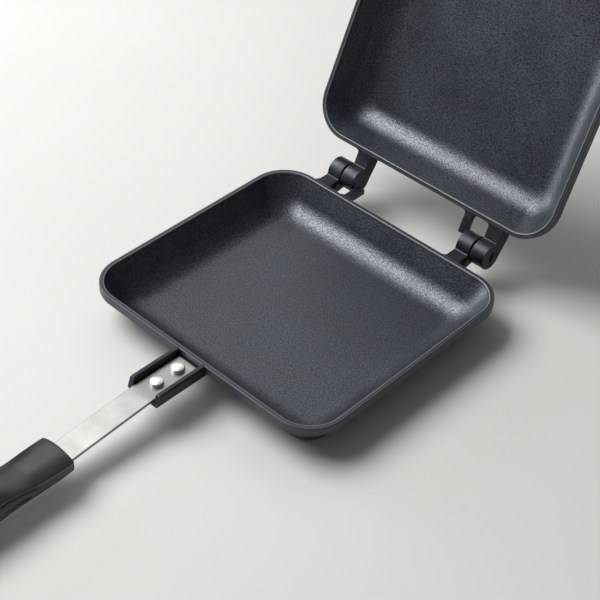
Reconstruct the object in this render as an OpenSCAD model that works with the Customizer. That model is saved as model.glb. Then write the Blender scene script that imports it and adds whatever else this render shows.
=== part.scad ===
// Pie iron: a hinged pair of shallow square pans with riveted strap handles.
// Both halves are the same casting, strap and grip. The upper half is the lower half turned over
// and shown swung open to its stop. Millimetres, +Z up, hinge at +Y, handles at -Y,
// origin at the centre of the lower pan's flat base.

/* [Pans] */
// Outside width of a pan, along the hinge
pan_w = 150; // [144:1:170]
// Outside length of a pan, from handle side to hinge side
pan_d = 138; // [132:1:150]
// Height of a pan from its base to its rim face
pan_h = 20; // [19:0.5:22]
// Outside radius of the pan corners
corner_r = 19.5; // [18:0.5:24]
// Height of the upright lip band under the rim face
lip_h = 4.4; // [3.5:0.1:5.5]
// Width of the flat rim face
rim_w = 2.3; // [2:0.1:2.6]
// Thickness of the pan floor
floor_t = 2.6; // [2.2:0.1:3.2]
// Radius of the round between wall and floor inside
fillet_r = 16; // [12:1:18]
// Gap left between the two rim faces when the pans are shut
rim_gap = 0.3; // [0.2:0.05:0.6]

/* [Hinge] */
// Distance of the hinge axis behind the rim
hinge_back = 14.5; // [14:0.5:18]
// Outside radius of the hinge knuckles
knuckle_r = 6.8; // [6.2:0.1:7.2]
// Distance from the middle to the outer face of the outer knuckle
knuckle_out = 51.5; // [48:0.5:54]
// Width of one knuckle
knuckle_w = 8.2; // [8:0.1:9]
// Gap between two neighbouring knuckles
knuckle_gap = 0.9; // [0.7:0.1:1]
// Width of the keeper rib beside the inner knuckle
keeper_w = 4.7; // [4:0.1:6]
// Thickness of the keeper rib
keeper_t = 3.2; // [2.6:0.1:3.4]
// Diameter of the hinge pins
pin_d = 5; // [4.5:0.1:5.4]
// Angle from shut to the open stop
open_angle = 115; // [100:1:120]

/* [Handles] */
// Inside width of the handle channel on the pan
channel_w = 14; // [13.6:0.1:15]
// Thickness of the channel's side walls
channel_wall = 2.8; // [2.2:0.1:3.5]
// Length of the channel, measured from the rim
channel_len = 26.5; // [26:0.5:28]
// Depth of the channel block under the rim face
channel_h = 6; // [5.8:0.1:6.6]
// Width of the steel strap
strap_w = 13.2; // [12:0.1:13.4]
// Thickness of the steel strap
strap_t = 1.5; // [1.2:0.1:1.6]
// Angle by which the strap turns away from the rim plane
strap_tilt = 4.35; // [3:0.05:4.5]
// Visible strap between the channel and the grip
strap_free = 45.5; // [40:0.5:60]
// Spacing of the two rivets
rivet_pitch = 12.7; // [12:0.1:14]
// Diameter of a rivet head
rivet_head_d = 6.3; // [5.8:0.1:6.8]
// Height of a rivet head above the strap
rivet_head_h = 2.4; // [1.8:0.1:2.6]

/* [Grips] */
// Length of a grip
grip_len = 125; // [115:1:130]
// Width of a grip at its front end
grip_w = 20.6; // [19:0.1:22]
// Thickness of a grip at its thickest, near its end
grip_t = 17; // [16:0.5:17.5]

/* [Latch] */
// Diameter of the latch wire
wire_d = 2.5; // [2.2:0.1:2.8]

/* [Hidden] */
$fn = 64;
eps = 0.01;

half_d = pan_d / 2;
axis_y = half_d + hinge_back;
axis_z = pan_h + rim_gap / 2;
knuckle_in = knuckle_out - knuckle_w;
inner_out = knuckle_in - knuckle_gap;
inner_in = inner_out - knuckle_w;
keeper_out = inner_in - knuckle_gap;
keeper_len = 11.5;

// Section of the pan wall: how far each height lies in from the rim's outer edge. Wall and
// floor meet inside in one large arc. The floor starts at floor_in.
lip_z = pan_h - lip_h;
step_in = 1.6;
wall_slope = 0.625;
wall_angle = 90 - atan(wall_slope);
base_in = step_in + wall_slope * (lip_z - 0.2);
rim_round = [0.5, 1.2];
wall_foot = rim_w + rim_round[0] + wall_slope * (pan_h - rim_round[1] - floor_t);
floor_in = wall_foot + fillet_r * tan(wall_angle / 2);
fillet_n = 8;
corner_n = 10;
floor_corner_r = 5;
outer_section = [
    [step_in, lip_z + 1], [step_in, lip_z - 0.2], [base_in - 0.6, 0.9],
    [base_in - 0.1, 0.25], [base_in + 0.5, 0]
];
inner_section = concat(
    [
        [rim_w, pan_h + 1], [rim_w, pan_h],
        [rim_w + rim_round[0], pan_h - rim_round[1]]
    ],
    [for (i = [0:fillet_n]) let (a = wall_angle * (1 - i / fillet_n))
        [floor_in - fillet_r * sin(a), floor_t + fillet_r * (1 - cos(a))]]
);

// Hinge bores
bore_clear = 0.05;
end_wall = 1.3;
pin_root = inner_in + 1.2;
pin_tip = knuckle_out - end_wall - 0.4;
slot_len = 5.4;
slot_h = 2.2;

// Open stop: a lug on the inner knuckle runs in an arc groove of the outer knuckle.
lug_in_r = 3.7;
lug_out_r = 5.5;
lug_angle = 18;
lug_len = 1.9;
groove_play = 0.25;

// Handle channel and strap
channel_floor = 1.4;
channel_z = pan_h - channel_h;
strap_z = channel_z + channel_floor;
strap_top = strap_z + strap_t;
strap_root = -half_d - 0.8;
bend_y = -half_d - 29;
grip_y = bend_y - strap_free;
tang_w = 9;
tang_end = grip_y - 56;
rivet_y = [-half_d - 7.5, -half_d - 7.5 - rivet_pitch];
rivet_shank_r = 1.6;
rivet_edge = 0.9;
screw_y = grip_y - 41;
screw_head_z = pan_h - 6;
tang_play = 0.1;

// Grip, measured from its front end; heights are below the rim face
crease_front = 4.4;
crease_back = 2.4;
crown = 1.5;
front_r = 2.6;
grip_bottom_front = 10;
grip_bottom_back = grip_t + 1;
waist = 1.3;
flute_depth = 1.6;
ring_n = 24;
grip_stations = [
    0, 0.4, 1.2, front_r, 8, 14, 20, 24, 28, 34, 42, 52, 64, 76, 88, 98,
    grip_len - 17, grip_len - 12, grip_len - 8, grip_len - 5,
    grip_len - 2.6, grip_len - 1, grip_len - 0.2
];

// Latch bail
bail_u = grip_len - 9;
bail_y = grip_y - bail_u;
bail_z = pan_h - 10;
wire_r = wire_d / 2;
bail_half_w = grip_w / 2 + 0.9 + wire_r;
notch_r = wire_r + 0.3;
notch_z = pan_h - grip_bottom_back - 0.75;
bail_len = (2 * axis_z - bail_z) - notch_z;
bail_bend_r = 4;
trunnion_end = 6;

function along_slope(y) = strap_top - max(0, bend_y - y) * tan(strap_tilt);
function smooth(a, b, u) =
    let (t = min(1, max(0, (u - a) / (b - a)))) t * t * (3 - 2 * t);
function opened(p) = [
    axis_y + (p[0] - axis_y) * cos(open_angle) + (p[1] - axis_z) * sin(open_angle),
    axis_z - (p[0] - axis_y) * sin(open_angle) + (p[1] - axis_z) * cos(open_angle)
];

// Everything on the upper half is made in the lower half's place, turned over and swung open.
module on_lid() {
    translate([0, axis_y, axis_z])
        rotate([-open_angle, 0, 0])
            translate([0, -axis_y, axis_z])
                rotate([0, 180, 0])
                    children();
}

// Extrudes an outline drawn in Y and Z from x0 to x1.
module side_extrude(x0, x1) {
    translate([x0, 0, 0])
        rotate([90, 0, 90])
            linear_extrude(x1 - x0) children();
}

module rounded_rect(w, d, r) {
    square([w - 2 * r, d], center = true);
    square([w, d - 2 * r], center = true);
    for (sx = [-1, 1], sy = [-1, 1])
        translate([sx * (w / 2 - r), sy * (d / 2 - r)]) circle(r);
}

// Outline of the dish at a section point: a rectangle drawn in by p[0], at height p[1]. Its
// corners tighten as it is drawn in, from the pan's own radius down to that of the floor.
function corner_at(inset) = max(
    corner_r - inset,
    floor_corner_r + (corner_r - rim_w - floor_corner_r) * (floor_in - inset) / (floor_in - rim_w)
);
function dish_ring(p) =
    let (r = corner_at(p[0]), hx = pan_w / 2 - p[0] - r, hy = half_d - p[0] - r)
    [for (q = [0:3], i = [0:corner_n])
        let (a = 90 * (q + i / corner_n))
        [(q == 0 || q == 3 ? hx : -hx) + r * cos(a), (q < 2 ? hy : -hy) + r * sin(a), p[1]]];

// A round-cornered dish whose wall follows a section of [inset, height] points, from the top.
module dish(section) {
    n = 4 * (corner_n + 1);
    last = len(section) - 1;
    points = [for (p = section) each dish_ring(p)];
    walls = [
        for (k = [0:last - 1]) for (i = [0:n - 1])
            let (a = k * n + i, b = k * n + (i + 1) % n) [a, b, b + n, a + n]
    ];
    top = [for (i = [n - 1:-1:0]) i];
    floor = [for (i = [0:n - 1]) last * n + i];
    polyhedron(points, concat([top, floor], walls), convexity = 4);
}

// ---- one casting: pan, handle channel, hinge brackets ----

module x_cylinder(x0, x1, r) {
    translate([x0, axis_y, axis_z])
        rotate([0, 90, 0])
            cylinder(h = x1 - x0, r = r);
}

// A block from the lip out to the given distance behind the rim, flush with the rim face.
module bracket_block(x0, x1, reach) {
    low = axis_z - knuckle_r;
    side_extrude(x0, x1)
        polygon([
            [half_d - 1, pan_h], [half_d + reach, pan_h], [half_d + reach, low],
            [half_d - 3.6, low], [half_d - 2.2, lip_z - 0.4]
        ]);
}

module knuckle(x0, x1) {
    bracket_block(x0, x1, hinge_back);
    x_cylinder(x0, x1, knuckle_r);
}

// Part of a ring about the hinge axis, between two angles from +Y towards +Z.
module arc_ring(x0, x1, r0, r1, a0, a1) {
    translate([x0, axis_y, axis_z])
        rotate([90, 0, 90])
            rotate([0, 0, a0])
                rotate_extrude(angle = a1 - a0)
                    translate([r0, 0]) square([r1 - r0, x1 - x0]);
}

module end_slot() {
    for (s = [-1, 1])
        translate([0, s * (slot_len - slot_h) / 2, 0])
            x_cylinder(-knuckle_out - 1, -knuckle_in, slot_h / 2);
    translate([-knuckle_out - 1, axis_y - (slot_len - slot_h) / 2, axis_z - slot_h / 2])
        cube([knuckle_w, slot_len - slot_h, slot_h]);
}

module outer_knuckle() {
    difference() {
        knuckle(-knuckle_out, -knuckle_in);
        x_cylinder(-knuckle_out + end_wall, -knuckle_in + 1, pin_d / 2 + bore_clear);
        end_slot();
        arc_ring(-knuckle_in - lug_len + knuckle_gap - 0.3, -knuckle_in + 1,
            lug_in_r - groove_play, lug_out_r + groove_play,
            -open_angle - lug_angle / 2 - 0.3, lug_angle / 2 + 5);
    }
}

module inner_knuckle() {
    difference() {
        knuckle(inner_in, inner_out);
        x_cylinder(pin_root, inner_out + 1, pin_d / 2);
    }
    arc_ring(inner_out - 0.5, inner_out + lug_len, lug_in_r, lug_out_r,
        -lug_angle / 2, lug_angle / 2);
}

module keeper() {
    side_extrude(-keeper_out, -keeper_out + keeper_w)
        translate([half_d - 1, pan_h - keeper_t]) square([keeper_len + 1, keeper_t]);
}

module channel() {
    outer = channel_w / 2 + channel_wall;
    tip = half_d + channel_len;
    difference() {
        side_extrude(-outer, outer)
            polygon([
                [-half_d + 1, pan_h], [-tip, pan_h], [-tip - 2.8, channel_z],
                [-half_d + 2.6, channel_z], [-half_d + 2, lip_z - 0.4]
            ]);
        translate([-channel_w / 2, -tip - 3, strap_z])
            cube([channel_w, channel_len + 3, channel_h]);
        for (y = rivet_y)
            translate([0, y, channel_z - 1]) cylinder(h = channel_h, r = rivet_shank_r);
    }
}

module casting() {
    difference() {
        union() {
            translate([0, 0, lip_z])
                linear_extrude(lip_h) rounded_rect(pan_w, pan_d, corner_r);
            dish(outer_section);
        }
        dish(inner_section);
    }
    outer_knuckle();
    inner_knuckle();
    keeper();
    channel();
}

// ---- strap, rivets, grip, screw, pin ----

module strap_piece(w, y0, y1) {
    ys = y0 > bend_y && y1 < bend_y ? [y0, bend_y, y1] : [y0, y1];
    top = [for (y = ys) [y, along_slope(y)]];
    under = [for (i = [len(ys) - 1:-1:0]) [ys[i], along_slope(ys[i]) - strap_t]];
    side_extrude(-w / 2, w / 2) polygon(concat(top, under));
}

module strap() {
    difference() {
        union() {
            strap_piece(strap_w, strap_root, grip_y - 6);
            strap_piece(tang_w, grip_y - 5, tang_end);
        }
        for (y = rivet_y)
            translate([0, y, strap_z - 1]) cylinder(h = strap_t + 2, r = rivet_shank_r);
        translate([0, screw_y, 0]) cylinder(h = pan_h, r = 2);
    }
}

// A head has an upright edge and a low dome on it.
module rivet() {
    rise = rivet_head_h - rivet_edge;
    dome_r = (pow(rivet_head_d / 2, 2) + pow(rise, 2)) / (2 * rise);
    translate([0, 0, channel_z]) cylinder(h = strap_top - channel_z, r = rivet_shank_r);
    translate([0, 0, channel_z - 1.2]) cylinder(h = 1.2, r = 2.7);
    translate([0, 0, strap_top])
        rotate_extrude() {
            square([rivet_head_d / 2, rivet_edge]);
            intersection() {
                translate([0, rivet_head_h - dome_r]) circle(dome_r, $fn = 96);
                square([rivet_head_d / 2, rivet_head_h]);
            }
        }
}

module rivets() {
    for (y = rivet_y)
        translate([0, y, 0]) rivet();
}

// Half width, crease, crown and bottom of the grip at u from its front end.
function front_round(u) =
    u < front_r ? front_r - sqrt(pow(front_r, 2) - pow(front_r - u, 2)) : 0;
function end_shrink(u) =
    let (t = max(0, (u - (grip_len - 14)) / 14)) sqrt(1 - pow(t, 2.6));
function grip_half_w(u) =
    (grip_w / 2 - waist * smooth(6, 34, u) + (waist + 0.3) * smooth(52, 98, u) - front_round(u))
    * (0.35 + 0.65 * end_shrink(u));
function grip_mid(u) =
    -(crease_front + grip_bottom_front) / 2 - 3.2 * smooth(10, grip_len, u);
function grip_height(u, h) = grip_mid(u) + (h - grip_mid(u)) * (0.3 + 0.7 * end_shrink(u));
function grip_crease(u) =
    grip_height(u, -crease_front + (crease_front - crease_back) * smooth(20, 36, u)
        - 0.25 * front_round(u));
function grip_bottom(u) =
    grip_height(u, -grip_bottom_front
        - (grip_bottom_back - grip_bottom_front) * min(1, u / (grip_len - 14))
        + 0.25 * front_round(u));
function grip_flute(u) = flute_depth * smooth(18, 26, u) * (1 - smooth(96, 110, u));

// One ring of the grip: crowned top from crease to crease, fluted sides, round-edged bottom.
function grip_ring(u) =
    let (w = grip_half_w(u), c = grip_crease(u), b = grip_bottom(u), f = grip_flute(u),
        h = c - b, up = (crown + 0.7) * (0.3 + 0.7 * end_shrink(u)))
    concat(
        [for (i = [0:12]) [w * cos(15 * i), c + up * sin(15 * i)]],
        [[-w + 0.8 * f, c - 0.2 * h], [-w + f, c - 0.45 * h], [-w + 0.7 * f, c - 0.72 * h],
            [-w + 0.5, b + 1.3], [-w + 1.9, b]],
        [[0, b]],
        [[w - 1.9, b], [w - 0.5, b + 1.3], [w - 0.7 * f, c - 0.72 * h],
            [w - f, c - 0.45 * h], [w - 0.8 * f, c - 0.2 * h]]
    );

module grip_body() {
    rings = [for (u = grip_stations) grip_ring(u)];
    n = ring_n;
    last = len(rings) - 1;
    points = [
        for (k = [0:last]) for (p = rings[k])
            [p[0], grip_y - grip_stations[k], pan_h + p[1]],
        [0, grip_y, pan_h + grip_crease(0) - 0.6],
        [0, grip_y - grip_stations[last], pan_h + grip_mid(grip_len)]
    ];
    front_tip = (last + 1) * n;
    sides = [
        for (k = [0:last - 1]) for (i = [0:n - 1])
            let (a = k * n + i, b = k * n + (i + 1) % n)
            each [[a, b + n, b], [a, a + n, b + n]]
    ];
    front = [for (i = [0:n - 1]) [front_tip, i, (i + 1) % n]];
    back = [for (i = [0:n - 1]) [front_tip + 1, last * n + (i + 1) % n, last * n + i]];
    polyhedron(points, concat(sides, front, back), convexity = 4);
}

module strap_slot(w, y0, y1) {
    side_extrude(-w / 2 - tang_play, w / 2 + tang_play)
        polygon([
            [y0, along_slope(y0) + tang_play], [y1, along_slope(y1) + tang_play],
            [y1, along_slope(y1) - strap_t - tang_play],
            [y0, along_slope(y0) - strap_t - tang_play]
        ]);
}

module grip() {
    difference() {
        grip_body();
        strap_slot(strap_w, grip_y + 1, grip_y - 6.5);
        strap_slot(tang_w, grip_y - 5, tang_end - 0.5);
        translate([0, screw_y, screw_head_z]) cylinder(h = pan_h, r = 3.9);
        translate([0, screw_y, along_slope(screw_y) - strap_t - 0.6]) cylinder(h = 8, r = 2.15);
        for (s = [-1, 1])
            translate([s * (trunnion_end - 0.5), bail_y, bail_z])
                rotate([0, s * 90, 0]) cylinder(h = 12, r = wire_r + bore_clear);
        translate([-20, bail_y, notch_z]) rotate([0, 90, 0]) cylinder(h = 40, r = notch_r);
    }
}

module grip_screw() {
    tip = along_slope(screw_y) - strap_t - 0.3;
    difference() {
        union() {
            translate([0, screw_y, screw_head_z]) cylinder(h = 2.6, r = 3.5);
            translate([0, screw_y, tip]) cylinder(h = screw_head_z - tip + eps, r = 2);
        }
        for (a = [0, 90])
            translate([0, screw_y, screw_head_z + 2.3])
                rotate([0, 0, a]) cube([4, 0.9, 2], center = true);
    }
}

module hinge_pin() {
    x_cylinder(pin_root, pin_tip, pin_d / 2);
}

// ---- latch bail: hangs free from the upper grip at rest ----

module bend(sx, at) {
    translate([0, 0, at])
        translate([sx * (bail_half_w - bail_bend_r), 0, 0])
            rotate([90, 0, 0])
                rotate([0, 0, sx > 0 ? -90 : 180])
                    rotate_extrude(angle = 90) translate([bail_bend_r, 0]) circle(wire_r, $fn = 24);
}

module bail() {
    leg = bail_len - bail_bend_r;
    for (s = [-1, 1]) {
        translate([s * bail_half_w, 0, -leg])
            cylinder(h = leg - bail_bend_r / 2, r = wire_r, $fn = 24);
        bend(s, -leg);
        translate([s * (bail_half_w - bail_bend_r / 2), 0, -bail_bend_r / 2])
            rotate([90, 0, 0])
                rotate([0, 0, s > 0 ? 0 : 90])
                    rotate_extrude(angle = 90)
                        translate([bail_bend_r / 2, 0]) circle(wire_r, $fn = 24);
        translate([s * trunnion_end, 0, 0])
            rotate([0, s * 90, 0])
                cylinder(h = bail_half_w - bail_bend_r / 2 - trunnion_end, r = wire_r, $fn = 24);
    }
    translate([-bail_half_w + bail_bend_r, 0, -bail_len])
        rotate([0, 90, 0]) cylinder(h = 2 * (bail_half_w - bail_bend_r), r = wire_r, $fn = 24);
}

bail_pivot = opened([bail_y, 2 * axis_z - bail_z]);

color("#3a3b3f") casting();  // lower_pan
color("#3a3b3f") on_lid() casting();  // upper_pan
color("#d9d7d3") strap();  // lower_strap
color("#d9d7d3") on_lid() strap();  // upper_strap
color("#eeeae6") rivets();  // lower_strap_rivets
color("#eeeae6") on_lid() rivets();  // upper_strap_rivets
color("#1c1d20") grip();  // lower_grip
color("#1c1d20") on_lid() grip();  // upper_grip
color("#b9bbbe") grip_screw();  // lower_grip_screw
color("#b9bbbe") on_lid() grip_screw();  // upper_grip_screw
color("#a9abae") hinge_pin();  // lower_hinge_pin
color("#a9abae") on_lid() hinge_pin();  // upper_hinge_pin
color("#c4c6c9") translate([0, bail_pivot[0], bail_pivot[1]]) bail();  // latch_bail
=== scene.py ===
# %% [markdown]
# # Dressing a pie iron
# A pie iron is two shallow square pans on a hinge, with a long handle on each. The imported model
# already holds every solid in its place and says what turns on what. This lesson keeps that
# frame and makes new skins for it: rounded castings, a brushed strap, polished rivets and
# moulded grips. All new points are worked out in millimetres and turned to metres once, when a
# mesh is made.

# %% Load the frame
import math
import bpy
import bmesh
import numpy as np
from mathutils import Matrix, Vector


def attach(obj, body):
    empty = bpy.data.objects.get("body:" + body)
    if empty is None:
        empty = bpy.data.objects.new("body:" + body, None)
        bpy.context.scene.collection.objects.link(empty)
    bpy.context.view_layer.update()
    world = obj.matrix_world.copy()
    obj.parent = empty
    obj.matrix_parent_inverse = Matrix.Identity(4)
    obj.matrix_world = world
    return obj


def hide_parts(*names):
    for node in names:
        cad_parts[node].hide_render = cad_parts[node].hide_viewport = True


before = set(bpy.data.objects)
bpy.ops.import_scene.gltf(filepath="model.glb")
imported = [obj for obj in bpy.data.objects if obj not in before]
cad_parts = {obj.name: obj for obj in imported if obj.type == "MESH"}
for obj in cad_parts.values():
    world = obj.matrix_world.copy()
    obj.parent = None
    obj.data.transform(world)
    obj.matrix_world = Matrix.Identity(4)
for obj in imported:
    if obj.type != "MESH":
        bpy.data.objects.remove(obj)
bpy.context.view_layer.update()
MM = 0.001

# %% [markdown]
# ## Sizes shared by all pieces
# The two halves are one casting used twice. Each piece is therefore worked out once, in the
# lower half's place. The upper one is the same piece turned over and swung open about the hinge
# line. The sizes repeat those of the solids, so that a skin lies exactly where its solid is.
# Sizes that only one piece needs stand with that piece.

# %% Sizes in millimetres
PAN_W, PAN_D, PAN_H = 150.0, 138.0, 20.0
HALF_D = PAN_D / 2
FLUSH = PAN_H - 0.02  # arms and channel end a hair under the rim, so that no two faces coincide
AXIS_Y, AXIS_Z = 83.5, 20.15
OPEN_ANGLE = math.radians(115)
print("pan", PAN_W, "x", PAN_D, "x", PAN_H, "mm, open", round(math.degrees(OPEN_ANGLE)), "degrees")

# %% [markdown]
# ## From the lower half to the upper half
# Turning the lid over is half a turn about +Y, and opening it is a turn about the hinge line.
# A mirror image would be easier to write, but it would turn every face inside out and swap the
# two kinds of knuckle. Both of these are plain turns, so the faces still point outwards.

# %% The turn that makes a lid of a pan
def on_lid(p):
    """Points of the lower half carried to the open lid: half a turn about +Y through the hinge
    line, then the opening angle about the hinge line."""
    c, s = math.cos(OPEN_ANGLE), math.sin(OPEN_ANGLE)
    y, z = p[..., 1] - AXIS_Y, AXIS_Z - p[..., 2]
    return np.stack([-p[..., 0], AXIS_Y + y * c + z * s, AXIS_Z - y * s + z * c], axis=-1)


hinge_check = on_lid(np.array([0.0, AXIS_Y, AXIS_Z]))
print("a point on the hinge line stays", hinge_check)

# %% [markdown]
# ## Surfaces on grids
# Every skin here is a grid of points, either wrapped round on itself or left open, and closed
# at its ends. Three helpers do the work. One joins neighbouring grid points into four-sided
# faces. One turns a hard-cornered line into one with true arcs at its corners, because no real
# casting or pressing has a knife edge and the thin light line on a rounded edge is what the
# eye reads as metal. The last closes a grid and turns its faces outwards.

# %% Grid faces
def grid_faces(rows, cols, wrap_rows=False, wrap_cols=False):
    """Faces of a grid of points: each cell joins a point to the next along its row and its
    column. Wrapping joins the last line to the first."""
    i, j = np.meshgrid(
        np.arange(rows if wrap_rows else rows - 1),
        np.arange(cols if wrap_cols else cols - 1),
        indexing="ij",
    )
    i2, j2 = (i + 1) % rows, (j + 1) % cols
    cells = [i * cols + j, i * cols + j2, i2 * cols + j2, i2 * cols + j]
    return np.stack(cells, axis=-1).reshape(-1, 4)


print("a grid of 3 by 4 points has", len(grid_faces(3, 4)), "faces")

# %% Rounded lines
# A sharp edge is also where a painted highlight is laid.
SHARP_R = 0.5  # a corner of this radius or less counts as a sharp edge, where a coating wears


def rounded(corners, radii, steps=6, fill=1):
    """A line through the corners, each inner one replaced by an arc of its radius that touches
    both sides. Straight runs are cut into fill parts. Also gives how sharp each point's bend is,
    1 for a sharp edge and less by the square of the radius."""
    p, r = np.asarray(corners, float), np.asarray(radii, float)[:, None]
    a, b = p[:-2] - p[1:-1], p[2:] - p[1:-1]
    a, b = a / np.linalg.norm(a, axis=1)[:, None], b / np.linalg.norm(b, axis=1)[:, None]
    half = np.arccos(np.clip((a * b).sum(1), -1, 1))[:, None] / 2
    middle = p[1:-1] + (a + b) / np.linalg.norm(a + b, axis=1)[:, None] * r / np.sin(half)
    u, v = p[1:-1] + a * r / np.tan(half) - middle, p[1:-1] + b * r / np.tan(half) - middle
    turn, w = np.pi - 2 * half[:, :, None], np.linspace(0, 1, steps + 1)[None, :, None]
    swing = np.sin((1 - w) * turn) * u[:, None] + np.sin(w * turn) * v[:, None]
    arcs = (middle[:, None] + swing / np.sin(turn)).reshape(-1, 2)
    line = np.concatenate([p[:1], arcs, p[-1:]])
    bend = np.repeat(np.clip(SHARP_R / r[:, 0], 0, 1) ** 2, steps + 1)
    bend = np.concatenate([[0], bend, [0]])
    runs = np.arange(len(r) + 1)[:, None] * (steps + 1) + np.linspace(0, 1, fill + 1)
    at = np.unique(np.concatenate([np.arange(len(line)), runs.ravel()]).round(6))
    every = np.arange(len(line))
    line = np.stack([np.interp(at, every, line[:, 0]), np.interp(at, every, line[:, 1])], 1)
    return line, np.interp(at, every, bend)


print("a rounded corner has", len(rounded([(0, 0), (5, 0), (5, 5)], [1])[0]), "points")

# %% Closed shells
def shell(points, faces, bend=None, skin=0, cols=0):
    """One closed surface: points, faces, how sharply each point is bent, and which material it
    takes. With cols given, its first and last rows of that many points are closed by one flat
    face each. Its faces are turned to point outwards by the sign of its volume."""
    p = points.reshape(-1, 3)
    a, b, c, d = (p[faces[:, k]] for k in range(4))
    volume = ((np.cross(a, b) * c).sum() + (np.cross(a, c) * d).sum()) / 6
    ends = [np.arange(cols)[::-1], len(p) - cols + np.arange(cols)] if cols else []
    for end in ends:
        volume += (np.cross(p[end], p[np.roll(end, -1)]) @ p[end[0]]).sum() / 6
    if volume < 0:
        faces, ends = faces[:, ::-1], [end[::-1] for end in ends]
    bend = np.zeros(len(p)) if bend is None else np.broadcast_to(bend, points.shape[:-1]).ravel()
    skin = np.broadcast_to(skin, len(faces))
    skin = np.concatenate([skin, [skin[0]] * len(ends)])
    return {"points": p, "faces": faces, "ends": ends, "bend": bend, "skin": skin,
        "volume": abs(volume)}


unit = np.array([[(0, 0, z), (1, 0, z), (1, 1, z), (0, 1, z)] for z in (0.0, 1.0)])
print("a unit cube holds", shell(unit, grid_faces(2, 4, wrap_cols=True), cols=4)["volume"])

# %% [markdown]
# ## Putting a piece into the scene
# The shells of one piece share a mesh. Points that fall on each other at seams and poles are
# merged. Each point also keeps two things that a material can read: its place in the lower half
# before it was turned into the lid, so that brushing follows the strap on both halves, and how
# sharply the surface bends there, because a coating is thinnest on an edge and a painted
# highlight is laid along edges.
# Weighted normals keep the flats flat and let only the arcs shade round.

# %% Make a mesh
WELD_GAP, FLAT_EDGE = 0.002 * MM, 0.0001 * MM


def weld(mesh):
    """Merges points closer than the weld gap and drops what has no area."""
    bm = bmesh.new()
    bm.from_mesh(mesh)
    bmesh.ops.remove_doubles(bm, verts=bm.verts, dist=WELD_GAP)
    bmesh.ops.dissolve_degenerate(bm, edges=bm.edges, dist=FLAT_EDGE)
    bm.to_mesh(mesh)
    bm.free()


def make_mesh(name, shells, lid=False):
    """Joins the shells, writes their arrays into a mesh and merges points that coincide."""
    starts = np.cumsum([0] + [len(s["points"]) for s in shells])
    made_at = np.concatenate([s["points"] for s in shells])
    points = (on_lid(made_at) if lid else made_at) * MM
    faces = [face for s, n in zip(shells, starts)
        for face in [*(s["faces"] + n).tolist(), *((end + n).tolist() for end in s["ends"])]]
    mesh = bpy.data.meshes.new(name)
    mesh.from_pydata(points.tolist(), [], faces)
    mesh.attributes.new("made_at", "FLOAT_VECTOR", "POINT").data.foreach_set(
        "vector", (made_at * MM).astype(np.float32).ravel())
    mesh.attributes.new("bend", "FLOAT", "POINT").data.foreach_set(
        "value", np.concatenate([s["bend"] for s in shells]).astype(np.float32))
    mesh.polygons.foreach_set(
        "material_index", np.concatenate([s["skin"] for s in shells]).astype(np.int32))
    weld(mesh)
    return mesh


print("points closer than", WELD_GAP / MM, "mm are merged")

# %% Put it on its body
SOFT_CREASE, HARD_CREASE = 35, 60  # degrees between faces above which an edge stays sharp


def place(name, mesh, materials, body, node, crease=SOFT_CREASE):
    """Makes the object, gives it smooth shading with weighted normals, hands it to its body and
    hides the node's own solid."""
    piece = bpy.data.objects.new(name, mesh)
    bpy.context.scene.collection.objects.link(piece)
    mesh.name = name
    mesh.shade_smooth()
    mesh.set_sharp_from_angle(angle=math.radians(crease))
    for material in materials:
        mesh.materials.append(material)
    weighted = piece.modifiers.new("weighted normals", "WEIGHTED_NORMAL")
    weighted.mode, weighted.keep_sharp = "FACE_AREA", True
    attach(piece, body)
    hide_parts(node)
    print(name, "has", len(mesh.vertices), "points and rides on", body)
    return piece


print("edges sharper than", SOFT_CREASE, "degrees stay sharp")

# %% Carve one mesh with others
def carve(mesh, cutters):
    """The mesh with each cutter's volume taken away. The cutters are removed afterwards."""
    piece = bpy.data.objects.new("blank", mesh)
    bpy.context.scene.collection.objects.link(piece)
    tools = []
    for k, cutter in enumerate(cutters):
        tool = bpy.data.objects.new(f"cutter{k}", cutter)
        bpy.context.scene.collection.objects.link(tool)
        cut = piece.modifiers.new(f"cut{k}", "BOOLEAN")
        cut.operation, cut.solver, cut.object = "DIFFERENCE", "EXACT", tool
        tools.append(tool)
    bpy.context.view_layer.update()
    graph = bpy.context.evaluated_depsgraph_get()
    carved = bpy.data.meshes.new_from_object(piece.evaluated_get(graph))
    for thing in [piece, *tools]:
        old = thing.data
        bpy.data.objects.remove(thing)
        bpy.data.meshes.remove(old)
    return carved


# %% [markdown]
# ## Material helpers
# Colours are written as they look on a screen and turned to linear light once. One function
# adds a shader node with its settings and its links. Two more join the few nodes that every
# finish here ends with: wear and a painted highlight on the edges, and the colour, gloss and
# relief of the shader.

# %% Colours and shader nodes
def colour(hex_code):
    """A colour given as six hex digits, turned from screen values to linear light."""
    v = np.array([int(hex_code[k:k + 2], 16) for k in (1, 3, 5)]) / 255
    v = np.where(v <= 0.04045, v / 12.92, ((v + 0.055) / 1.055) ** 2.4)
    return (*v.tolist(), 1.0)


def add(tree, kind, settings=None, links=None):
    """Adds a node. A setting that names an input is its value, "stops" are the (place, hex
    colour) pairs of a colour ramp, and any other is a property. A link joins an output to the
    named or numbered input."""
    node = tree.nodes.new(kind)
    for name, value in (settings or {}).items():
        if name == "stops":
            band = node.color_ramp.elements
            while len(band) < len(value):
                band.new(0.5)
            for element, (at, hex_code) in zip(band, value):
                element.position, element.color = at, colour(hex_code)
        elif isinstance(name, int) or name in node.inputs:
            node.inputs[name].default_value = value
        else:
            setattr(node, name, value)
    for name, source in (links or {}).items():
        tree.links.new(source, node.inputs[name])
    return node


print("mid grey in linear light is", round(colour("#808080")[0], 3))

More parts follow.
